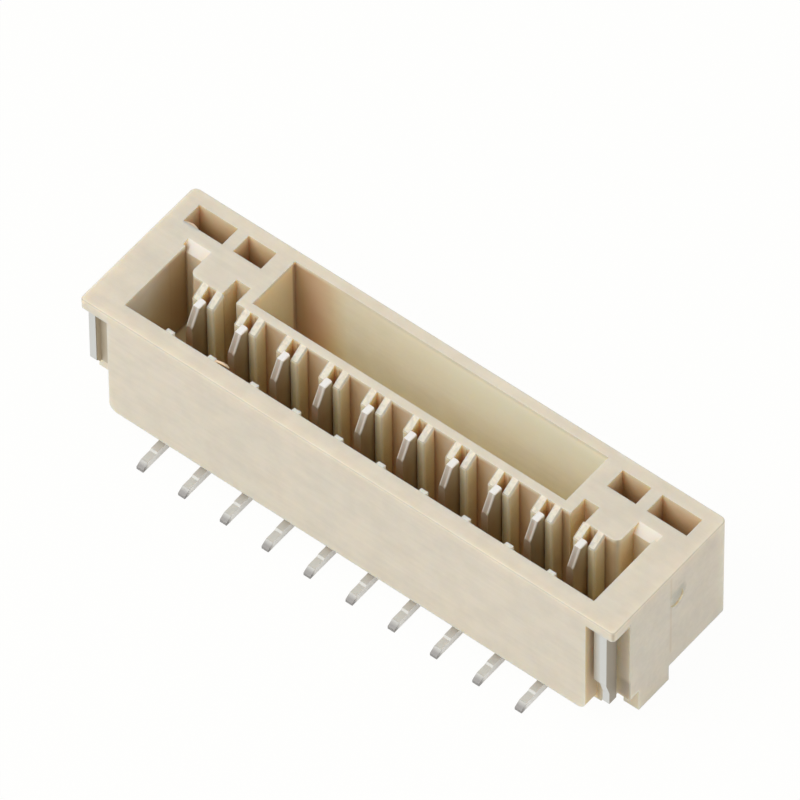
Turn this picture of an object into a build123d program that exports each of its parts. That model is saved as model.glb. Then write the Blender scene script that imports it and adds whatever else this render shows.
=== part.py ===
"""Wafer connector: a ten-way vertical header on a 1.25 mm pitch, for surface mounting.

The contacts' tails leave at the front, which is -Y. The open cavity faces up. The origin is under
the middle of the body, on the plane of the circuit board.
"""

import os

from build123d import *

# The row of contacts and the outside of the housing
circuits = 10
pitch = 1.25
end_margin = 2.25
depth = 4.25
height = 4.10
front_corner_radius = 0.12
back_corner_radius = 0.17
rim_radius = 0.05

# Walls, counted from the front face to the back face, and the floor
front_wall = 0.50
mating_gap = 1.65
partition = 0.22
back_wall = 0.295
end_wall = 0.955
underside = 0.55
floor_thickness = 0.70

# Ribs that hold the contacts, and the low guide ribs on the front wall opposite them
rib_width = 0.66
rib_reach = 0.395
rib_fall = 0.23
rib_rounding = 0.06
guide_width = 0.20
guide_reach = 0.13
guide_fall = 0.03

# Blocks that stop the row at both ends, with the channels beside them
block_inside = 0.265
block_outside = 0.695
block_radius = 0.18
lower_corner_radius = 0.25
channel_back = 0.575
channel_chamfer = 0.22
channel_flare = 0.08
pocket_width = 0.43
pocket_back = 0.54

# Lock windows behind the blocks, counted from the end face inwards
window_end = 0.445
outer_window = 1.16
window_web = 0.32
inner_window = 0.84
slot_web = 0.48
window_width = 0.59
window_back_wall = 0.375
window_depth = 2.60

# Front corner notches for the solder tabs, and the feet of the end walls
notch_length = 0.81
notch_lip = 0.31
notch_face = 0.445
notch_depth = 0.625
end_front_underside = 0.95
end_back_underside = 0.73
foot_bottom = 0.21
foot_front = 0.975
foot_length = 1.12

# Contacts, cut from sheet and standing on edge
contact_thickness = 0.20
contact_clearance = 0.02
blade_width = 0.525
blade_overlap = 0.02
blade_tip_drop = 0.05
lead_run = 0.255
lead_drop = 0.50
shoulder_height = 1.10
strip_height = 0.24
foot_height = 0.20
foot_run = 0.49
toe_height = 0.09
toe_run = 0.17
tail_reach = 0.66
joggle_run = 0.26
tail_rounding = 0.05
tip_corner_radius = 0.12
tip_rounding = 0.07

# Solder tabs, folded from sheet. The arm of the left tab ends higher than that of the right tab
tab_thickness = 0.20
tab_clearance = 0.02
tab_proud = 0.045
tab_top_gap = 0.04
arm_outside = 0.23
arm_nose = 0.12
web_gap = 0.07
web_bottoms = {"left": 1.88, "right": 1.58}
arm_bottoms = {"left": 1.88, "right": 1.10}
nose_bottoms = {"left": 1.92, "right": 1.50}
nose_tops = {"left": 2.04, "right": 1.90}
plate_outside = 0.465
plate_back = 3.10
plate_bottom = 0.90
leg_front = 2.45
sole_end = 0.25
sole_width = 0.45

# The mark that the moulding gate leaves on the right end face
gate_diameter = 0.50
gate_depth = 0.04
gate_height = 3.05
gate_back = 0.245

# Places that follow from the sizes above
row = pitch * (circuits - 1)
length = row + 2 * end_margin
end_face = length / 2
front_face = -depth / 2
back_face = depth / 2
front_inner = front_face + front_wall
partition_front = front_inner + mating_gap
slot_front = partition_front + partition
slot_back = back_face - back_wall
cavity_end = end_face - end_wall
floor_top = underside + floor_thickness
channel_back_face = partition_front + channel_back
rib_front = partition_front - rib_reach
block_outer_face = row / 2 + block_outside
block_inner_face = row / 2 - block_inside
outer_window_end = end_face - window_end
inner_window_end = outer_window_end - outer_window - window_web
slot_end = inner_window_end - inner_window - slot_web
window_back = back_face - window_back_wall
notch_start = end_face - notch_length
arm_back = front_face + notch_depth
blade_back = rib_front + blade_overlap
blade_front = blade_back - blade_width
shoulder_back = partition_front - 2 * contact_clearance
notch_back = front_face + notch_face
arm_front = front_face + tab_proud
arm_outer_face = end_face - arm_outside
arm_inner_face = arm_outer_face - tab_thickness
web_back = notch_back - tab_clearance
web_front = web_back - tab_thickness
tab_top = height - notch_lip - tab_top_gap
plate_outer_face = end_face - plate_outside
plate_inner_face = plate_outer_face - tab_thickness
plate_end = front_face + plate_back
leg_start = front_face + leg_front
contact_places = [(number - (circuits - 1) / 2) * pitch for number in range(circuits)]

os.makedirs("parts", exist_ok=True)


def patch(x_range, y_range):
    """Adds a rectangle, given by its limits, to the sketch that is being drawn."""
    with Locations((sum(x_range) / 2, sum(y_range) / 2)):
        Rectangle(x_range[1] - x_range[0], y_range[1] - y_range[0])


# Housing: one moulding in natural beige nylon
with BuildPart() as housing:
    with BuildSketch(Plane.XY.offset(underside)):
        Rectangle(length, depth)
    extrude(amount=height - underside)
    corners = housing.edges().filter_by(Axis.Z).group_by(Axis.Y)
    fillet(corners[0], front_corner_radius)
    corners = housing.edges().filter_by(Axis.Z).group_by(Axis.Y)
    fillet(corners[-1], back_corner_radius)
    fillet(housing.faces().sort_by(Axis.Z)[-1].outer_wire().edges(), rim_radius)

    # A foot under each end wall stands between the front corner and the raised back half
    with BuildSketch(Plane.XY.offset(foot_bottom)):
        patch((cavity_end, end_face), (front_face + foot_front, front_face + foot_front + foot_length))
        mirror(about=Plane.YZ)
    extrude(amount=underside - foot_bottom)

    # Everything that opens at the top and reaches the floor: the cavity that takes the plug, the
    # channels at its ends, the pockets that flank the end blocks, and the latch slot
    with BuildSketch(Plane.XY.offset(floor_top)):
        patch(
            (block_outer_face, cavity_end),
            (front_inner, channel_back_face),
        )
        patch(
            (block_inner_face - pocket_width, block_inner_face),
            (front_inner, partition_front + pocket_back),
        )
        mirror(about=Plane.YZ)
        patch((-cavity_end, cavity_end), (front_inner, partition_front))
        patch((-slot_end, slot_end), (slot_front, slot_back))
    extrude(amount=height - floor_top, mode=Mode.SUBTRACT)

    # The end blocks are rounded where the plug slides past them
    block_corners = housing.edges().filter_by(
        lambda edge: abs(abs(edge.center().X) - block_outer_face) < contact_clearance
        and abs(edge.center().Y - partition_front) < contact_clearance
    )
    fillet(block_corners, block_radius)

    # A chamfer leads the plug into each end channel
    with BuildSketch(Plane.YZ.offset(block_outer_face)):
        with BuildLine():
            Polyline(
                (channel_back_face, height),
                (channel_back_face + channel_chamfer, height),
                (channel_back_face, height - channel_chamfer),
                close=True,
            )
        make_face()
    lead_in = extrude(amount=cavity_end + channel_flare - block_outer_face, mode=Mode.SUBTRACT)
    mirror(lead_in, about=Plane.YZ, mode=Mode.SUBTRACT)

    # Two lock windows at each end, behind the blocks
    with BuildSketch(Plane.XY.offset(height)):
        patch(
            (outer_window_end - outer_window, outer_window_end),
            (window_back - window_width, window_back),
        )
        patch(
            (inner_window_end - inner_window, inner_window_end),
            (window_back - window_width, window_back),
        )
        mirror(about=Plane.YZ)
    extrude(amount=-window_depth, mode=Mode.SUBTRACT)

    # A rib for each contact, with a top that falls towards the front
    with BuildSketch(*[Plane.YZ.offset(x) for x in contact_places]):
        with BuildLine():
            Polyline(
                (rib_front, floor_top),
                (partition_front, floor_top),
                (partition_front, height),
                (rib_front, height - rib_fall),
                close=True,
            )
        make_face()
    extrude(amount=rib_width / 2, both=True)

    # A low guide rib on the front wall, opposite each contact
    with BuildSketch(*[Plane.YZ.offset(x) for x in contact_places]):
        with BuildLine():
            Polyline(
                (front_inner, floor_top),
                (front_inner + guide_reach, floor_top),
                (front_inner + guide_reach, height - 2 * guide_fall),
                (front_inner, height - guide_fall),
                close=True,
            )
        make_face()
    extrude(amount=guide_width / 2, both=True)

    # The slot that splits each rib
    slot_half = contact_thickness / 2 + contact_clearance
    with BuildSketch(Plane.XY.offset(floor_top)):
        for x in contact_places:
            patch((x - slot_half, x + slot_half), (rib_front, partition_front))
    extrude(amount=height - floor_top, mode=Mode.SUBTRACT)

    # The front corners of the ribs and the brows above them are rounded
    rib_corners = housing.edges().filter_by(Axis.Z).filter_by(
        lambda edge: abs(edge.center().Y - rib_front) < contact_clearance
        and min(abs(abs(edge.center().X - x) - rib_width / 2) for x in contact_places) < contact_clearance
    )
    fillet(rib_corners, rib_rounding)
    rib_brows = housing.edges().filter_by(Axis.X).filter_by(
        lambda edge: abs(edge.center().Y - rib_front) < contact_clearance
        and abs(edge.center().Z - height + rib_fall) < contact_clearance
    )
    fillet(rib_brows, rib_rounding)

    # The hole in the floor for each contact's shoulder
    with BuildSketch(Plane.XY.offset(underside)):
        for x in contact_places:
            patch(
                (x - slot_half, x + slot_half),
                (blade_front - contact_clearance, partition_front - contact_clearance),
            )
    extrude(amount=floor_thickness, mode=Mode.SUBTRACT)

    # Front corner notches for the solder tabs, under a lip that is flush with the top
    with BuildSketch(Plane.XY.offset(height - notch_lip)):
        patch((notch_start, end_face), (front_face, notch_back))
        patch((plate_inner_face - tab_clearance, end_face), (front_face, arm_back))
        mirror(about=Plane.YZ)
    extrude(amount=underside - height + notch_lip, mode=Mode.SUBTRACT)

    # The slot in each end wall for the plate of the solder tab, open below
    with BuildSketch(Plane.XY.offset(foot_bottom)):
        patch(
            (plate_inner_face - tab_clearance, plate_outer_face + tab_clearance),
            (arm_back, plate_end + tab_clearance),
        )
        mirror(about=Plane.YZ)
    extrude(amount=tab_top + tab_clearance - foot_bottom, mode=Mode.SUBTRACT)

    # The end walls stop short of the board in front of the foot and behind it
    with BuildSketch(Plane.XY.offset(underside)):
        patch((plate_inner_face - tab_clearance, end_face), (arm_back, front_face + foot_front))
        mirror(about=Plane.YZ)
    extrude(amount=end_front_underside - underside, mode=Mode.SUBTRACT)
    with BuildSketch(Plane.XY.offset(underside)):
        patch((cavity_end, end_face), (front_face + foot_front + foot_length, back_face))
        mirror(about=Plane.YZ)
    extrude(amount=end_back_underside - underside, mode=Mode.SUBTRACT)

    # The front wall's lower corners are rounded beside the notches
    wall_corners = housing.edges().filter_by(Axis.Y).filter_by(
        lambda edge: abs(abs(edge.center().X) - notch_start) < contact_clearance
        and edge.center().Y < notch_back
        and abs(edge.center().Z - underside) < contact_clearance
    )
    fillet(wall_corners, lower_corner_radius)

    # The shallow round mark of the moulding gate
    with BuildSketch(Plane.YZ.offset(end_face - gate_depth)):
        with Locations((gate_back, gate_height)):
            Circle(gate_diameter / 2)
    extrude(amount=gate_depth, mode=Mode.SUBTRACT)
housing.part.label = "housing"
export_step(housing.part, "parts/housing.step")

# Contacts: blade, shoulder, base and tail in one flat stamping, seen from the side
tip_height = height - blade_tip_drop
tail_tip = front_face - tail_reach
heel = tail_tip + foot_run

for number, x in enumerate(contact_places, start=1):
    with BuildPart() as contact:
        with BuildSketch(Plane.YZ.offset(x - contact_thickness / 2)) as outline:
            with BuildLine():
                Polyline(
                    (blade_back, tip_height),
                    (blade_front + lead_run, tip_height),
                    (blade_front, tip_height - lead_drop),
                    (blade_front, underside),
                    (front_inner, underside),
                    (front_inner - joggle_run, strip_height),
                    (heel + tail_rounding, strip_height),
                    (heel, foot_height),
                    (tail_tip + toe_run, foot_height),
                    (tail_tip, toe_height),
                    (tail_tip, 0),
                    (front_inner - joggle_run / 2, 0),
                    (front_inner + joggle_run / 2, underside - strip_height),
                    (shoulder_back, underside - strip_height),
                    (shoulder_back, floor_top + shoulder_height),
                    (blade_back, floor_top + shoulder_height),
                    close=True,
                )
            make_face()
            tail_corners = outline.vertices().filter_by_position(Axis.Y, tail_tip, heel)
            fillet(tail_corners, tail_rounding)
            tip_corners = outline.vertices().filter_by_position(Axis.Z, tip_height - lead_drop, height)
            fillet(tip_corners, tip_corner_radius)
        extrude(amount=contact_thickness)

        # The edges that meet the plug are rounded
        tip_edges = contact.edges().filter_by(
            lambda edge: edge.center().Z > tip_height - lead_drop
            and abs(abs(edge.center().X - x) - contact_thickness / 2) < contact_clearance
            and edge.center().Y < blade_back - tip_corner_radius
        )
        fillet(tip_edges, tip_rounding)
    contact.part.label = f"contact_{number:02d}"
    export_step(contact.part, f"parts/contact_{number:02d}.step")

# Solder tabs: a forward arm, a web and a long plate that ends in a sole on the board
for side, name in ((-1, "left"), (1, "right")):
    web_bottom = web_bottoms[name]
    arm_bottom = arm_bottoms[name]
    with BuildPart() as tab:
        with BuildSketch(Plane.XY.offset(web_bottom)):
            patch((notch_start + web_gap, arm_outer_face), (web_front, web_back))
            patch((plate_inner_face, plate_outer_face), (web_back, plate_end))
        extrude(amount=tab_top - web_bottom)

        # The arm reaches forward, and its lower front corner is cut back
        with BuildSketch(Plane.YZ.offset(arm_inner_face)):
            with BuildLine():
                Polyline(
                    (arm_front, tab_top),
                    (web_back, tab_top),
                    (web_back, arm_bottom),
                    (arm_front + arm_nose, arm_bottom),
                    (arm_front + arm_nose, nose_bottoms[name]),
                    (arm_front, nose_tops[name]),
                    close=True,
                )
            make_face()
        extrude(amount=tab_thickness)

        # The plate inside the end wall reaches lower, with its leg behind the foot of the housing
        with BuildSketch(Plane.YZ.offset(plate_inner_face)):
            patch((arm_back, plate_end), (plate_bottom, tab_top))
            patch((leg_start, plate_end), (0, tab_top))
        extrude(amount=tab_thickness)

        # The sole, turned inwards flat on the board and just past the back face
        with BuildSketch(Plane.XY):
            patch((plate_outer_face - sole_width, plate_outer_face), (leg_start, back_face + sole_end))
        extrude(amount=tab_thickness)
        if side < 0:
            mirror(about=Plane.YZ, mode=Mode.REPLACE)
    tab.part.label = f"solder_tab_{name}"
    export_step(tab.part, f"parts/solder_tab_{name}.step")
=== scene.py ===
# %% [markdown]
# # A ten-way wafer connector
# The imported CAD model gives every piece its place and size, in metres. This lesson adds what the CAD
# lacks: the camera, the light, and the finishes of a small moulded and stamped electronic part.

# %% Load the CAD model
import math

import bmesh
import bpy
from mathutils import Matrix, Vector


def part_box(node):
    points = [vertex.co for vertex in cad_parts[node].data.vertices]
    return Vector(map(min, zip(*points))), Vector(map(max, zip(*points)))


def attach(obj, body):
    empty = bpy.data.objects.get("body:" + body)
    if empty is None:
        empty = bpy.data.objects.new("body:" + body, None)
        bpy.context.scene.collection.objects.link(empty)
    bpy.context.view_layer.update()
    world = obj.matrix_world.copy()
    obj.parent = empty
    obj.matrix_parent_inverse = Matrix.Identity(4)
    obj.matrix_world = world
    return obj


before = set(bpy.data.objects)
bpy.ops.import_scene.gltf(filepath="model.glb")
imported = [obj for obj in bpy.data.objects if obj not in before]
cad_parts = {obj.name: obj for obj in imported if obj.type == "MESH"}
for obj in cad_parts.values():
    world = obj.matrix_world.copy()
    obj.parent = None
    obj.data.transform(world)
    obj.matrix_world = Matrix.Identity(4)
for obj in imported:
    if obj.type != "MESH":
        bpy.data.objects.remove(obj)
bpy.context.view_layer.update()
scene = bpy.context.scene
MM = 0.001
print("CAD nodes:", sorted(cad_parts))

# %% [markdown]
# ## Camera
# The photograph was taken from far away with a long lens, so parallel edges hardly converge. The
# camera stands in front of the connector's right end and looks down at a little over fifty degrees.
# Its place, its turn and its lens were fitted together, to edges that the CAD and the photograph share.

# %% Place the camera
CAMERA_PLACE_MM = (137.277, -169.311, 287.282)
CAMERA_TURN_DEGREES = (37.6142, 0.3424, 38.6006)
LENS_MM = 697.14
SENSOR_MM = 36
NEAREST = 0.05
FARTHEST = 5

camera_data = bpy.data.cameras.new("camera")
camera_data.sensor_width = SENSOR_MM
camera_data.lens = LENS_MM
camera_data.clip_start = NEAREST
camera_data.clip_end = FARTHEST
camera = bpy.data.objects.new("camera", camera_data)
camera.location = [value * MM for value in CAMERA_PLACE_MM]
camera.rotation_euler = [math.radians(angle) for angle in CAMERA_TURN_DEGREES]
scene.collection.objects.link(camera)
scene.camera = camera
print("camera distance:", round(camera.location.length, 4), "m")

# %% [markdown]
# ## Light tent
# Small parts are photographed in a light tent: soft, almost even light from all sides. The world can
# be that tent. It shows plain white to the camera and in mirrors, and lights the part less strongly,
# so that pale plastic doesn't burn out. Light Path tells the two kinds of ray apart.

# %% Set the world
TENT_TINT = (1.0, 0.99, 0.975, 1)
TENT_STRENGTH = 0.57
BACKDROP_WHITE = (1.0, 1.0, 0.99, 1)

scene.view_settings.view_transform = "Standard"
world = bpy.data.worlds.new("light_tent")
scene.world = world
world.use_nodes = True
sky = world.node_tree
sky.nodes.clear()


def add_node(tree, kind, inputs=(), **settings):
    """Adds one node, sets its properties, then sets or links its sockets by name or number."""
    node = tree.nodes.new(kind)
    for name, value in settings.items():
        setattr(node, name, value)
    for name, value in dict(inputs).items():
        if isinstance(value, bpy.types.NodeSocket):
            tree.links.new(value, node.inputs[name])
        else:
            node.inputs[name].default_value = value
    return node


def compute(tree, operation, *values):
    """Gives the result of one Math node. Its values are numbers or sockets."""
    return add_node(tree, "ShaderNodeMath", enumerate(values), operation=operation).outputs[0]


def seen_directly(tree):
    """Gives a socket that is 1 for rays from the camera, mirrors and glass, and 0 for lighting."""
    ray = add_node(tree, "ShaderNodeLightPath").outputs
    mirrored = compute(tree, "MAXIMUM", ray["Is Glossy Ray"], ray["Is Transmission Ray"])
    return compute(tree, "MAXIMUM", ray["Is Camera Ray"], mirrored)


tent_light = add_node(sky, "ShaderNodeBackground", {"Color": TENT_TINT, "Strength": TENT_STRENGTH})
backdrop = add_node(sky, "ShaderNodeBackground", {"Color": BACKDROP_WHITE, "Strength": 1.0})
tent = add_node(sky, "ShaderNodeMixShader", {
    0: seen_directly(sky),
    1: tent_light.outputs[0],
    2: backdrop.outputs[0],
})
add_node(sky, "ShaderNodeOutputWorld", {"Surface": tent.outputs[0]})
print("world nodes:", len(sky.nodes))

# %% [markdown]
# ## Softboxes
# Two softboxes give the even light a direction. The key light hangs above the front left and makes
# the tops the brightest faces, and a weak one fills the right end. An area light far larger than the
# part gives shadows without edges.

# %% Hang the softboxes


def softbox(name, place_mm, size_mm, watts):
    """Adds a square area light that faces the middle of the connector."""
    light = bpy.data.lights.new(name, "AREA")
    light.size = size_mm * MM
    light.energy = watts
    lamp = bpy.data.objects.new(name, light)
    lamp.location = [value * MM for value in place_mm]
    lamp.rotation_euler = (-lamp.location).to_track_quat("-Z", "Y").to_euler()
    scene.collection.objects.link(lamp)
    print(name, "at", place_mm, "mm,", watts, "W")


softbox("softbox_key", place_mm=(-52, -94, 146), size_mm=100, watts=0.162)
softbox("softbox_side", place_mm=(180, 20, 50), size_mm=120, watts=0.031)

# %% [markdown]
# ## Floor
# The floor is the tent's white paper. It glows white to the camera, as the backdrop does, and a small
# share of ordinary paper is left in it, which is enough to catch the connector's shadow.

# %% Lay the floor
FLOOR_REACH = 0.6
SHADOW_SHARE = 0.03
PAPER_SHADE = (0.85, 0.85, 0.84, 1)


def blank_material(name):
    """Makes a material whose node tree is empty."""
    material = bpy.data.materials.new(name)
    material.use_nodes = True
    material.node_tree.nodes.clear()
    return material


paper = blank_material("white_paper")
tree = paper.node_tree
plain_paper = add_node(tree, "ShaderNodeBsdfDiffuse", {"Color": PAPER_SHADE})
white_glow = add_node(tree, "ShaderNodeEmission", {"Color": BACKDROP_WHITE, "Strength": 1.0})
paper_mix = add_node(tree, "ShaderNodeMixShader", {
    0: compute(tree, "MULTIPLY", seen_directly(tree), 1 - SHADOW_SHARE),
    1: plain_paper.outputs[0],
    2: white_glow.outputs[0],
})
add_node(tree, "ShaderNodeOutputMaterial", {"Surface": paper_mix.outputs[0]})

floor_mesh = bpy.data.meshes.new("floor")
sheet_form = bmesh.new()
bmesh.ops.create_grid(sheet_form, x_segments=1, y_segments=1, size=FLOOR_REACH)
sheet_form.to_mesh(floor_mesh)
sheet_form.free()
floor_mesh.materials.append(paper)
floor = bpy.data.objects.new("floor", floor_mesh)
scene.collection.objects.link(floor)
print("floor corners:", [tuple(round(value, 2) for value in vertex.co) for vertex in floor_mesh.vertices])

# %% [markdown]
# ## Moulded housing
# The housing is a heat-proof nylon in its natural beige. It lets a little light through, so its thin
# walls glow warmly and its deep slots turn brown. A picture could be painted and wrapped round it, but
# here every shade is worked out from the surface itself: from noise, from where a point lies, or from
# how it faces. Such a finish stays sharp at any distance. It starts as soft clouds of two beiges, so
# that it doesn't look like flat paint.

# %% Start the nylon with its clouds
CLOUD_SCALE = 420.0
CLOUD_STOPS = (0.30, 0.70)
CLOUD_BEIGES = ((0.735, 0.68, 0.572, 1), (0.765, 0.695, 0.575, 1))


def noise(tree, place, scale, detail, roughness=0.5):
    """Gives noise from 0 to 1. A higher scale makes it finer, and more detail adds smaller grains."""
    inputs = {"Vector": place, "Scale": scale, "Detail": detail, "Roughness": roughness}
    return add_node(tree, "ShaderNodeTexNoise", inputs).outputs["Fac"]


nylon = blank_material("natural_nylon")
tree = nylon.node_tree
coordinates = add_node(tree, "ShaderNodeTexCoord").outputs
clouds = noise(tree, coordinates["Object"], CLOUD_SCALE, 3.0)
cloud_ramp = add_node(tree, "ShaderNodeValToRGB", {"Fac": clouds})
for stop, position, beige in zip(cloud_ramp.color_ramp.elements, CLOUD_STOPS, CLOUD_BEIGES):
    stop.position = position
    stop.color = beige
tint = cloud_ramp.outputs["Color"]
print("clouds of", len(CLOUD_BEIGES), "beiges")

# %% [markdown]
# ### Smudges and streaks
# Handling leaves small greyer blots, and the polish of the mould leaves faint streaks along the row.
# Both are noise. The streaks are noise whose x was shrunk first, which stretches its grains along X.

# %% Smudge it and streak it
BLOT_SCALE = 1500.0
SCRATCH_SCALE = 7000.0
SCRATCH_SHRINK = (0.06, 1.0, 1.0)
BLOT_SHADES = (0.955, 1.01)
SCRATCH_SHADES = (0.975, 1.02)


def ramp(tree, value, start, end, low=0.0, high=1.0):
    """Gives low where the value is start, high where it is end, and a straight slope between."""
    inputs = {"Value": value, 1: start, 2: end, 3: low, 4: high}
    return add_node(tree, "ShaderNodeMapRange", inputs).outputs[0]


def multiplied(tree, vector, factor):
    """Multiplies a colour or a place by a number, or part by part by three numbers."""
    inputs = {0: vector, 1: factor}
    return add_node(tree, "ShaderNodeVectorMath", inputs, operation="MULTIPLY").outputs[0]


def stretched(tree, place, shrink):
    """Shrinks the place along its axes, so that noise on it is stretched."""
    return add_node(tree, "ShaderNodeMapping", {"Vector": place, "Scale": shrink}).outputs[0]


blots = noise(tree, coordinates["Object"], BLOT_SCALE, 4.0, 0.6)
scratches = noise(tree, stretched(tree, coordinates["Object"], SCRATCH_SHRINK), SCRATCH_SCALE, 2.0)
blot_shade = ramp(tree, blots, 0.38, 0.60, *BLOT_SHADES)
scratch_shade = ramp(tree, scratches, 0.30, 0.70, *SCRATCH_SHADES)
tint = multiplied(tree, tint, compute(tree, "MULTIPLY", blot_shade, scratch_shade))
print("darkest smudge:", round(BLOT_SHADES[0] * SCRATCH_SHADES[0], 3), "of the beige")

# %% [markdown]
# ### Gate mark
# The plastic entered the mould through the right end face. The CAD has the round step there, and its
# torn middle is rough and grey. The grey needs a mask: a number that is 1 where it shows and 0 where
# it doesn't. This one falls with the distance from the gate, and the blots make its border ragged.

# %% Grey the gate mark
GATE_MM = (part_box("housing")[1].x / MM, 0.245, 3.05)
GATE_GREY = (0.56, 0.53, 0.44, 1)
GATE_RAGGEDNESS_MM = 1.6
GATE_RIM_MM = 1.15


def below(tree, value, limit, fade):
    """Gives a mask that starts at a limit and is full below it, at the distance called fade."""
    return ramp(tree, value, limit, limit - fade)


def layered(tree, mask, under, over):
    """Lays one colour over another where the mask says. Both are numbers or sockets."""
    inputs = {0: mask, 6: under, 7: over}
    return add_node(tree, "ShaderNodeMix", inputs, data_type="RGBA").outputs[2]


place_mm = multiplied(tree, coordinates["Object"], (1 / MM, 1 / MM, 1 / MM))
from_gate = add_node(tree, "ShaderNodeVectorMath", {0: place_mm, 1: GATE_MM}, operation="DISTANCE")
ragged = compute(tree, "MULTIPLY_ADD", blots, GATE_RAGGEDNESS_MM, from_gate.outputs["Value"])
tint = layered(tree, below(tree, ragged, GATE_RIM_MM, 0.30), tint, GATE_GREY)
print("gate mark at", [round(value, 3) for value in GATE_MM], "mm")

# %% [markdown]
# ### Painted shade on the edges
# The rounded edges catch the key light in a bright line, so painted shade makes them a little darker
# than the faces. On a box like this they are easy to find: only there is the normal far from all three
# axes.

# %% Paint shade on the rounded edges
EDGE_PAINTED_SHADE = 0.71


def split(tree, vector):
    """Gives the three sockets of a vector: x, y and z."""
    return tuple(add_node(tree, "ShaderNodeSeparateXYZ", {0: vector}).outputs)


turned = add_node(tree, "ShaderNodeVectorMath", {0: coordinates["Normal"]}, operation="ABSOLUTE")
turned_x, turned_y, turned_z = split(tree, turned.outputs["Vector"])
steepest = compute(tree, "MAXIMUM", compute(tree, "MAXIMUM", turned_x, turned_y), turned_z)
# Painted shade: the rounded edges are darkened so that the key light leaves no bright line on them.
tint = multiplied(tree, tint, ramp(tree, steepest, 0.75, 0.97, EDGE_PAINTED_SHADE, 1.0))
print("edges rubbed to", EDGE_PAINTED_SHADE, "of the beige")

# %% [markdown]
# ### Painted highlights on the slopes
# The chamfers that lead plugs in and the sloping tops of the ribs face the key light, so both get
# painted highlights, the rib tops in patches. Both slopes are chosen by how close the normal lies to
# the slope's own, and the patches by a fine grain. The tops of the low guide ribs on the front wall get
# a painted highlight too. They are chosen by place alone.

# %% Paint highlights on the lead-in chamfers and the rib tops
CHAMFER_NORMAL = (0, -0.7071, 0.7071)
RIB_TOP_NORMAL = (0, -0.503, 0.864)
CHAMFER_PAINTED_HIGHLIGHT = (0.87, 0.81, 0.72, 1)
RIB_TOP_PAINTED_HIGHLIGHT = (0.92, 0.81, 0.66, 1)
GRAIN_SCALE = 9000.0

x, y, z = split(tree, place_mm)
grain = noise(tree, coordinates["Object"], GRAIN_SCALE, 2.0)


def above(tree, value, limit, fade):
    """Gives a mask that starts at a limit and is full above it, at the distance called fade."""
    return ramp(tree, value, limit, limit + fade)


def facing(tree, normal, direction, limit, fade):
    """Gives a mask of the faces whose normal lies close to a direction."""
    closeness = add_node(tree, "ShaderNodeVectorMath", {0: normal, 1: direction}, operation="DOT_PRODUCT")
    return above(tree, closeness.outputs["Value"], limit, fade)


def product(tree, *masks):
    """Multiplies masks, which leaves the place that all of them share."""
    shared = masks[0]
    for mask in masks[1:]:
        shared = compute(tree, "MULTIPLY", shared, mask)
    return shared


chamfers = facing(tree, coordinates["Normal"], CHAMFER_NORMAL, 0.93, 0.04)
lead_in = product(tree, chamfers, above(tree, y, 0.2, 0.1))
# Painted highlight on the lead-in chamfers, which face the key light.
tint = layered(tree, lead_in, tint, CHAMFER_PAINTED_HIGHLIGHT)

rib_tops = facing(tree, coordinates["Normal"], RIB_TOP_NORMAL, 0.97, 0.02)
patches = ramp(tree, grain, 0.35, 0.55, 0.35, 0.85)
rib_top_highlight = product(tree, rib_tops, above(tree, y, -0.6, 0.1), patches)
# Painted highlight, in patches, on the sloping rib tops that face the key light.
tint = layered(tree, rib_top_highlight, tint, RIB_TOP_PAINTED_HIGHLIGHT)
print("chamfers polished and rib tops rubbed, in", len(tree.nodes), "nodes so far")

# %% Paint highlights on the guide rib tops
GUIDE_MIDDLE_MM = -1.555
GUIDE_HALF_DEPTH_MM = 0.066
GUIDE_TOP_MM = 3.93
ROW_REACH_MM = 6.5
GUIDE_TOP_PAINTED_HIGHLIGHT = (1.0, 0.88, 0.72, 1)


def apart(tree, value, middle):
    """Gives the distance of a value from a middle."""
    return compute(tree, "ABSOLUTE", compute(tree, "SUBTRACT", value, middle))


guide_depth = compute(tree, "LESS_THAN", apart(tree, y, GUIDE_MIDDLE_MM), GUIDE_HALF_DEPTH_MM)
guide_row = compute(tree, "LESS_THAN", compute(tree, "ABSOLUTE", x), ROW_REACH_MM)
guide_tops = product(tree, guide_depth, guide_row, above(tree, z, GUIDE_TOP_MM, 0.06))
# Painted highlight on the tops of the guide ribs.
tint = layered(tree, guide_tops, tint, GUIDE_TOP_PAINTED_HIGHLIGHT)
print("guide ribs rubbed at y =", GUIDE_MIDDLE_MM, "mm")

# %% [markdown]
# ### Shade behind the right tab
# The notch of the right solder tab is narrow, and its walls look grey between the metal and the lip
# above. The shade is deepest below the tab's web. Sharp limits are enough, because each of them falls
# just beside an edge of the shape.

# %% Shade the right notch
NOTCH_START_MM = 7.065
NOTCH_BACK_MM = -1.68
ARM_BACK_MM = -1.50
LIP_UNDERSIDE_MM = 3.79
WEB_BOTTOM_MM = 1.70
NOTCH_GREY = (0.42, 0.37, 0.30, 1)

in_notch = compute(tree, "GREATER_THAN", x, NOTCH_START_MM + 0.015)
below_web = ramp(tree, z, WEB_BOTTOM_MM, WEB_BOTTOM_MM - 0.15, 0.35, 1.0)
before_arm_back = compute(tree, "LESS_THAN", y, ARM_BACK_MM + 0.03)
from_notch_back = compute(tree, "GREATER_THAN", y, NOTCH_BACK_MM - 0.03)
below_lip = compute(tree, "LESS_THAN", z, LIP_UNDERSIDE_MM + 0.06)
notch_shade = product(tree, in_notch, below_web, before_arm_back, from_notch_back, below_lip)
tint = layered(tree, notch_shade, tint, NOTCH_GREY)
print("notch shaded from x =", NOTCH_START_MM, "mm outwards")

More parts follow.
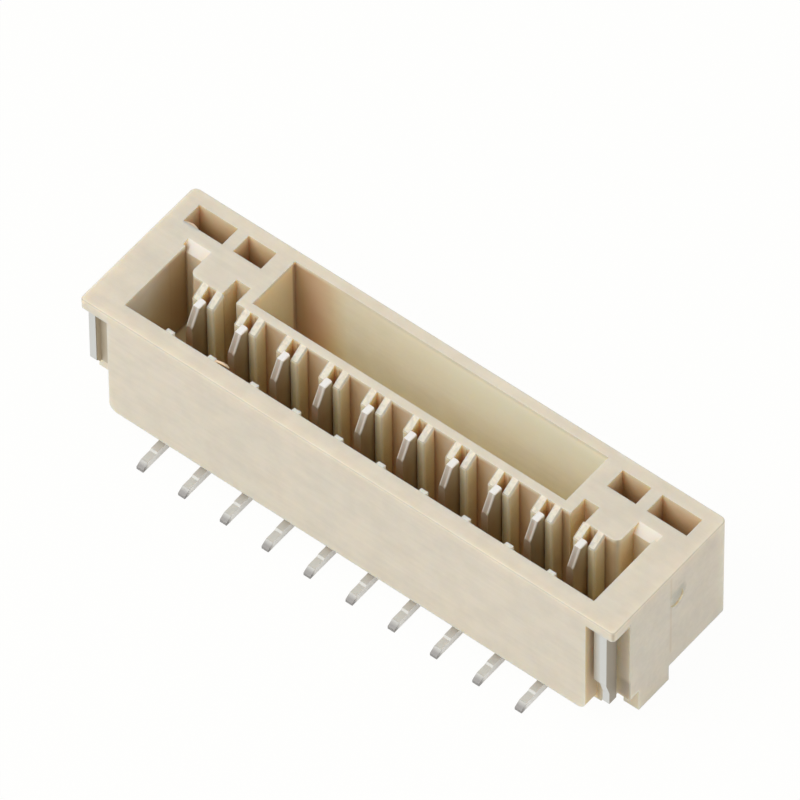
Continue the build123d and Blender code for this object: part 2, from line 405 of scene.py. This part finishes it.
# %% [markdown]
# ### Brown depths
# Light that reaches a deep place has passed through nylon on its way, and the nylon has kept most of
# its blue. So a deep place isn't only darker than a shallow one, it is browner. Ambient Occlusion
# measures how shut in a point is: its AO is 1 in the open and falls towards 0 in a slot. The cavity in
# front takes in more light than the slots behind it, so the two are given different limits.

# %% Turn the deep places brown
SEARCH_MM = 1.6
DEEPEST_BROWN = (0.60, 0.40, 0.20, 1)
HALF_OPEN_BROWN = (0.90, 0.73, 0.43, 1)

search = add_node(tree, "ShaderNodeAmbientOcclusion", {"Distance": SEARCH_MM * MM}, samples=8)
openness = search.outputs["AO"]
half_open_limit = ramp(tree, y, 0.3, 1.0, 0.13, 0.34)
half_open = ramp(tree, openness, 0.0, half_open_limit)
brown = layered(tree, half_open, DEEPEST_BROWN, HALF_OPEN_BROWN)
tint = layered(tree, ramp(tree, openness, 0.10, 0.65), brown, tint)
print("depths searched over", SEARCH_MM, "mm")

# %% [markdown]
# ### Golden notch walls
# The side wall of each corner notch is thin, and light comes through it from the cavity. Subsurface
# scattering alone doesn't carry enough light that far, so the wall gets its own golden tint.

# %% Gild the side walls of the notches
NOTCH_GOLD = (0.69, 0.57, 0.38, 1)

from_notch_start = apart(tree, compute(tree, "ABSOLUTE", x), NOTCH_START_MM)
beside_notch = compute(tree, "LESS_THAN", from_notch_start, 0.05)
sideways = compute(tree, "GREATER_THAN", turned_x, 0.9)
notch_walls = product(tree, beside_notch, sideways, before_arm_back)
tint = layered(tree, notch_walls, tint, NOTCH_GOLD)
print("notch walls gilded at x =", -NOTCH_START_MM, "and", NOTCH_START_MM, "mm")

# %% [markdown]
# ### Latch slot
# The slot behind the partition takes the plug's latch. Its tints are painted light and shade: a
# painted golden glow on its left end, painted brown shade on the back wall beside that end, and higher
# up and further right, where the same wall is thin, painted light that makes it the palest inside face.
# All three tints stay between the floor and the rim, and off the outer back face.

# %% Paint light and shade into the latch slot
BACK_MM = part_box("housing")[1].y / MM
TOP_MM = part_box("housing")[1].z / MM
SLOT_END_MM = 4.63
SLOT_BACK_MM = 1.83
FLOOR_TOP_MM = 1.25
SLOT_END_PAINTED_GLOW = (0.95, 0.78, 0.48, 1)
CORNER_PAINTED_SHADE = (0.57, 0.40, 0.23, 1)
THIN_WALL_PAINTED_LIGHT = (1.0, 0.84, 0.66, 1)

below_rim = below(tree, z, TOP_MM - 0.05, 0.10)
above_floor = above(tree, z, FLOOR_TOP_MM - 0.10, 0.10)
inside = product(tree, below_rim, above_floor, below(tree, y, BACK_MM - 0.125, 0.10))
left_limit = above(tree, x, -SLOT_END_MM - 0.12, 0.05)
right_limit = below(tree, x, SLOT_END_MM + 0.12, 0.05)
back_wall = above(tree, y, SLOT_BACK_MM - 0.13, 0.06)

end_wall = below(tree, x, -SLOT_END_MM + 0.03, 0.02)
slot_end = product(tree, end_wall, left_limit, inside, above(tree, y, 0.25, 0.25))
# Painted golden glow on the slot's left end.
tint = layered(tree, slot_end, tint, SLOT_END_PAINTED_GLOW)

corner = product(tree, below(tree, x, -3.1, 1.3), left_limit, inside, back_wall)
# Painted brown shade on the back wall beside the left end.
tint = layered(tree, corner, tint, CORNER_PAINTED_SHADE)

upper = above(tree, z, 1.8, 2.1)
away_from_corner = above(tree, x, -3.6, 4.0)
lucid = product(tree, upper, away_from_corner, inside, right_limit, back_wall)
# Painted light on the thin upper part of the back wall.
tint = layered(tree, lucid, tint, THIN_WALL_PAINTED_LIGHT)
print("latch slot tinted between z =", FLOOR_TOP_MM, "and", round(TOP_MM, 3), "mm")

# %% [markdown]
# ### Cavity
# The partition gets a painted golden glow between the ribs, most in the left half of each bay, and
# the cavity's left end gets painted shade that darkens towards the block. FRACT of a place counted in
# pitches starts again at each contact, so one mask serves all the bays.

# %% Paint light and shade into the cavity
PITCH_MM = round((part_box("contact_02")[0].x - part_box("contact_01")[0].x) / MM, 3)
PARTITION_FRONT_MM = 0.025
CAVITY_END_MM = 6.92
BAY_PAINTED_GLOW = (0.58, 0.43, 0.25, 1)
CAVITY_END_PAINTED_SHADE = (0.50, 0.34, 0.18, 1)

partition = below(tree, apart(tree, y, PARTITION_FRONT_MM), 0.05, 0.03)
across_bay = compute(tree, "FRACT", compute(tree, "MULTIPLY_ADD", x, 1 / PITCH_MM, 0.5))
bays = product(tree, partition, inside, ramp(tree, across_bay, 0.40, 0.72, 1.0, 0.25))
# Painted golden glow on the partition between the ribs.
tint = layered(tree, bays, tint, BAY_PAINTED_GLOW)

end_limit = below(tree, x, -CAVITY_END_MM + 0.07, 0.05)
outer_limit = above(tree, x, -CAVITY_END_MM - 0.08, 0.04)
towards_block = ramp(tree, y, -0.8, 0.2, 0.0, 0.75)
before_window = below(tree, y, 0.9, 0.2)
cavity_end = product(tree, end_limit, outer_limit, inside, towards_block, before_window)
# Painted shade at the cavity's left end, darker towards the block.
tint = layered(tree, cavity_end, tint, CAVITY_END_PAINTED_SHADE)
print("bays tinted on a pitch of", PITCH_MM, "mm")

# %% [markdown]
# ### Nylon shader
# Light passes further through the thin back wall of the latch slot than through the rest, so its
# subsurface scale is larger there, and red light travels furthest everywhere. Grain and streaks also
# give the surface a slight relief, which breaks up the gloss.

# %% Finish the nylon
SCATTER_MM = 0.4
THIN_SCATTER_MM = 1.4
RELIEF_MM = 0.01

opaque_corner = compute(tree, "SUBTRACT", 1.0, corner)
thin_wall = product(tree, above(tree, y, SLOT_BACK_MM - 0.06, 0.05), below_rim, opaque_corner)
relief = add_node(tree, "ShaderNodeBump", {
    "Height": compute(tree, "ADD", grain, scratches),
    "Strength": 0.3,
    "Distance": RELIEF_MM * MM,
})
nylon_shader = add_node(tree, "ShaderNodeBsdfPrincipled", {
    "Base Color": tint,
    "Roughness": 0.45,
    "Normal": relief.outputs["Normal"],
    "Subsurface Weight": 1.0,
    "Subsurface Radius": (1.0, 0.75, 0.5),
    "Subsurface Scale": ramp(tree, thin_wall, 0.0, 1.0, SCATTER_MM * MM, THIN_SCATTER_MM * MM),
    "Specular IOR Level": 0.3,
})
add_node(tree, "ShaderNodeOutputMaterial", {"Surface": nylon_shader.outputs[0]})
print("nylon nodes:", len(tree.nodes))

# %% [markdown]
# ## Flash
# Nylon creeps into the joints of the mould and leaves thin slivers, called flash, at some edges. One
# fills the front edge of the outer left window, and one curls from the second guide rib. A sliver
# grows from a small end face, which is extruded from point to point and widened or narrowed. The
# operator leaves the face that it starts from. The first one closes the sliver, and the others would
# be walls inside it, so they are removed.

# %% Shape two slivers of flash
FLASH_ROUNDING_MM = 0.006

flash_form = bmesh.new()


def sliver(points_mm, half_widths_mm, thickness_mm):
    """Extrudes a thin strip along the points. Each half width is measured along Y."""
    end = flash_form.faces.new([flash_form.verts.new() for corner in range(4)])
    for step, (point, half) in enumerate(zip(points_mm, half_widths_mm)):
        if step:
            grown = bmesh.ops.extrude_face_region(flash_form, geom=[end])["geom"]
            if step > 1:
                flash_form.faces.remove(end)
            end = next(part for part in grown if isinstance(part, bmesh.types.BMFace))
        corners = ((-half, 0), (half, 0), (half, -thickness_mm), (-half, -thickness_mm))
        for vertex, (sideways_mm, upwards_mm) in zip(end.verts, corners):
            place = (point[0], point[1] + sideways_mm, point[2] + upwards_mm)
            vertex.co = [value * MM for value in place]


WINDOW_EDGE_MM = [
    (-7.42, 1.15, 4.090),
    (-7.32, 1.16, 4.090),
    (-7.18, 1.17, 4.092),
    (-7.06, 1.16, 4.090),
    (-6.96, 1.15, 4.090),
]
GUIDE_RIB_CURL_MM = [
    (-4.30, -1.57, 4.035),
    (-4.20, -1.54, 4.045),
    (-4.10, -1.50, 4.020),
    (-4.01, -1.47, 3.975),
    (-3.94, -1.46, 3.930),
]
sliver(WINDOW_EDGE_MM, half_widths_mm=[0.012, 0.045, 0.065, 0.045, 0.012], thickness_mm=0.05)
sliver(GUIDE_RIB_CURL_MM, half_widths_mm=[0.045, 0.030, 0.035, 0.030, 0.012], thickness_mm=0.035)
bmesh.ops.recalc_face_normals(flash_form, faces=flash_form.faces[:])
bmesh.ops.bevel(flash_form, geom=flash_form.edges[:], offset=FLASH_ROUNDING_MM * MM, affect="EDGES",
                segments=2, profile=0.5, material=-1)
flash_mesh = bpy.data.meshes.new("flash")
flash_form.to_mesh(flash_mesh)
flash_form.free()
print("flash faces:", len(flash_mesh.polygons))

# %% [markdown]
# A sliver is much thinner than the way that light travels in nylon, so subsurface scattering would
# leave it almost white. It gets a copy of the nylon without the scattering, in a warmer shade.

# %% Dress the flash
FLASH_WARMTH = (0.90, 0.78, 0.66)

thin_nylon = nylon.copy()
thin_nylon.name = "thin_nylon"
thin_tree = thin_nylon.node_tree
thin_shader = thin_tree.nodes["Principled BSDF"]
thin_shader.inputs["Subsurface Weight"].default_value = 0.0
nylon_tint = thin_shader.inputs["Base Color"].links[0].from_socket
thin_tree.links.new(multiplied(thin_tree, nylon_tint, FLASH_WARMTH), thin_shader.inputs["Base Color"])
flash_mesh.materials.append(thin_nylon)
flash = bpy.data.objects.new("flash", flash_mesh)
scene.collection.objects.link(flash)
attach(flash, "root")
print("flash dressed in", thin_nylon.name)

# %% [markdown]
# ## Tin-plated contacts and solder tabs
# Both are stamped from copper alloy and plated with tin, which reflects a blurred picture of the
# tent. The plating and the painted light on it differ from place to place, so they are laid on in
# masks, as the nylon's shades are. The first masks find the lead-in of each contact, where a painted
# highlight runs along both of its edges.

# %% Find the edges that get a painted highlight
HIGHLIGHT_FROM_PITCHES = 0.030
CONTACT_REACH_PITCHES = 0.10
LEAD_IN_BOTTOM_MM = 3.50


def lead_in_edge_highlights(tree, x, z, x_facing):
    """Gives a mask of the painted highlights along the edges at the tops of the contacts, without their
    sides that face X.
    """
    across_pitch = compute(tree, "FRACT", compute(tree, "DIVIDE", x, PITCH_MM))
    aside = apart(tree, across_pitch, 0.5)
    near_edge = above(tree, aside, HIGHLIGHT_FROM_PITCHES, 0.025)
    on_contact = compute(tree, "LESS_THAN", aside, CONTACT_REACH_PITCHES)
    at_top = above(tree, z, LEAD_IN_BOTTOM_MM, 0.08)
    return product(tree, near_edge, on_contact, at_top, compute(tree, "SUBTRACT", 1.0, x_facing))


print("a contact stands every", PITCH_MM, "mm")

# %% [markdown]
# Where plastic stands close by, the plating mirrors its brown shade, less so near the open top. The
# blurred reflections alone stay too pale for that, so Ambient Occlusion finds the sheltered places,
# and a browner shade is laid over them.

# %% Find the sheltered metal
LIT_FROM_MM = 3.0
LIT_FULLY_MM = 3.5


def sheltered(tree, z, search_mm):
    """Gives a mask of the places with something close by, weaker near the open top."""
    search = add_node(tree, "ShaderNodeAmbientOcclusion", {"Distance": search_mm * MM}, samples=8)
    height_share = ramp(tree, z, LIT_FROM_MM, LIT_FULLY_MM, 1.0, 0.5)
    return product(tree, ramp(tree, search.outputs["AO"], 0.62, 0.22), height_share)


print("shelter fades from z =", LIT_FROM_MM, "to", LIT_FULLY_MM, "mm")

# %% [markdown]
# The left tab is dull and brownish where it crosses its notch, because it mirrors the nylon around it.

# %% Find the left tab's web
LEFT_ARM_MM = -7.55
WEB_END_MM = -7.0
ARM_FRONT_MM = -2.07


def left_web(tree, x, y):
    """Gives a mask of the left tab's web and the inside of its arm."""
    inside_arm = above(tree, x, LEFT_ARM_MM, 0.05)
    left_side = compute(tree, "LESS_THAN", x, WEB_END_MM)
    behind_front = above(tree, y, ARM_FRONT_MM, 0.02)
    return product(tree, inside_arm, left_side, behind_front)


# %% [markdown]
# ### Tin finish
# Rolling leaves fine streaks along the strip, so the tone and the roughness follow a stretched noise.
# The faces of the sheet that face X get a darker, browner colour: painted shade, with the brown of the
# nylon beside them as a painted reflection. What is soldered to the board has a grey matte plating,
# paler on the faces that face X, and the outer ends of the tails are a darker grey. A matte place, and
# a painted edge highlight, is less metallic, so that it keeps its own colour instead of a picture of
# the tent.

# %% Plate the metal
SOLDER_GREY = (0.62, 0.62, 0.59, 1)
SOLDER_PALE = (0.88, 0.88, 0.86, 1)
TAIL_END_GREY = (0.30, 0.29, 0.28, 1)
LEAD_IN_PAINTED_HIGHLIGHT = (0.95, 0.92, 0.87, 1)
WEB_BROWN = (0.56, 0.49, 0.37, 1)
SOLDER_TOP_MM = 0.7
TAIL_END_MM = -2.58
STREAK_SHRINK = (1.0, 1.0, 0.08)
RIPPLE_MM = 0.008


def tin_plate(name, color, side_shade_color, shelter_color, search_mm, roughness, streak_scale):
    """Makes a tin finish with streaks along Z."""
    material = blank_material(name)
    tree = material.node_tree
    coordinates = add_node(tree, "ShaderNodeTexCoord").outputs
    x, y, z = split(tree, multiplied(tree, coordinates["Object"], (1 / MM, 1 / MM, 1 / MM)))
    streaks = noise(tree, stretched(tree, coordinates["Object"], STREAK_SHRINK), streak_scale, 3.0)
    streak_ramp = add_node(tree, "ShaderNodeValToRGB", {"Fac": streaks})
    streak_ramp.color_ramp.elements[0].color = (*[0.90 * value for value in color], 1)
    streak_ramp.color_ramp.elements[1].color = (*color, 1)

    facing_x = split(tree, coordinates["Normal"])[0]
    x_facing = compute(tree, "POWER", compute(tree, "ABSOLUTE", facing_x), 6.0)
    soldered = below(tree, z, SOLDER_TOP_MM, 0.2)
    edge_highlights = lead_in_edge_highlights(tree, x, z, x_facing)
    web = left_web(tree, x, y)

    # Painted shade and reflection on the faces that face X.
    tone = layered(tree, x_facing, streak_ramp.outputs["Color"], (*side_shade_color, 1))
    tone = layered(tree, sheltered(tree, z, search_mm), tone, (*shelter_color, 1))
    tone = layered(tree, soldered, tone, layered(tree, x_facing, SOLDER_GREY, SOLDER_PALE))
    # The outer ends of the tails are made a darker grey.
    tone = layered(tree, below(tree, y, TAIL_END_MM, 0.14), tone, TAIL_END_GREY)
    # Painted highlight along the edges of each lead-in.
    tone = layered(tree, edge_highlights, tone, LEAD_IN_PAINTED_HIGHLIGHT)
    tone = layered(tree, web, tone, WEB_BROWN)

    solder_and_highlights = compute(tree, "MAXIMUM", soldered, edge_highlights)
    shine = product(tree, ramp(tree, solder_and_highlights, 0.0, 1.0, 0.85, 0.20), compute(tree, "SUBTRACT", 1.0, web))
    polish = ramp(tree, streaks, 0.0, 1.0, roughness - 0.06, roughness + 0.06)
    ripple = add_node(tree, "ShaderNodeBump", {
        "Height": streaks,
        "Strength": 0.4,
        "Distance": RIPPLE_MM * MM,
    })
    shader = add_node(tree, "ShaderNodeBsdfPrincipled", {
        "Base Color": tone,
        "Metallic": shine,
        "Roughness": compute(tree, "MULTIPLY_ADD", soldered, 0.25, polish),
        "Normal": ripple.outputs["Normal"],
    })
    add_node(tree, "ShaderNodeOutputMaterial", {"Surface": shader.outputs[0]})
    print(name, "nodes:", len(tree.nodes))
    return material


contact_tin = tin_plate(
    "contact_tin",
    color=(0.88, 0.86, 0.83),
    side_shade_color=(0.52, 0.46, 0.36),
    shelter_color=(0.42, 0.32, 0.18),
    search_mm=1.5,
    roughness=0.32,
    streak_scale=5000.0,
)
tab_tin = tin_plate(
    "tab_tin",
    color=(0.68, 0.68, 0.65),
    side_shade_color=(0.30, 0.26, 0.20),
    shelter_color=(0.66, 0.64, 0.62),
    search_mm=0.5,
    roughness=0.36,
    streak_scale=4000.0,
)

# %% [markdown]
# ## Dressing the CAD nodes
# Each CAD node keeps its mesh and its place, and only takes the finish of its own material.

# %% Dress the CAD nodes
for name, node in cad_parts.items():
    finish = nylon
    if name.startswith("contact"):
        finish = contact_tin
    if name.startswith("solder_tab"):
        finish = tab_tin
    node.data.materials.clear()
    node.data.materials.append(finish)
print("dressed", len(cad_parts), "nodes")

# %% [markdown]
# ## End

# %% End
print("done")
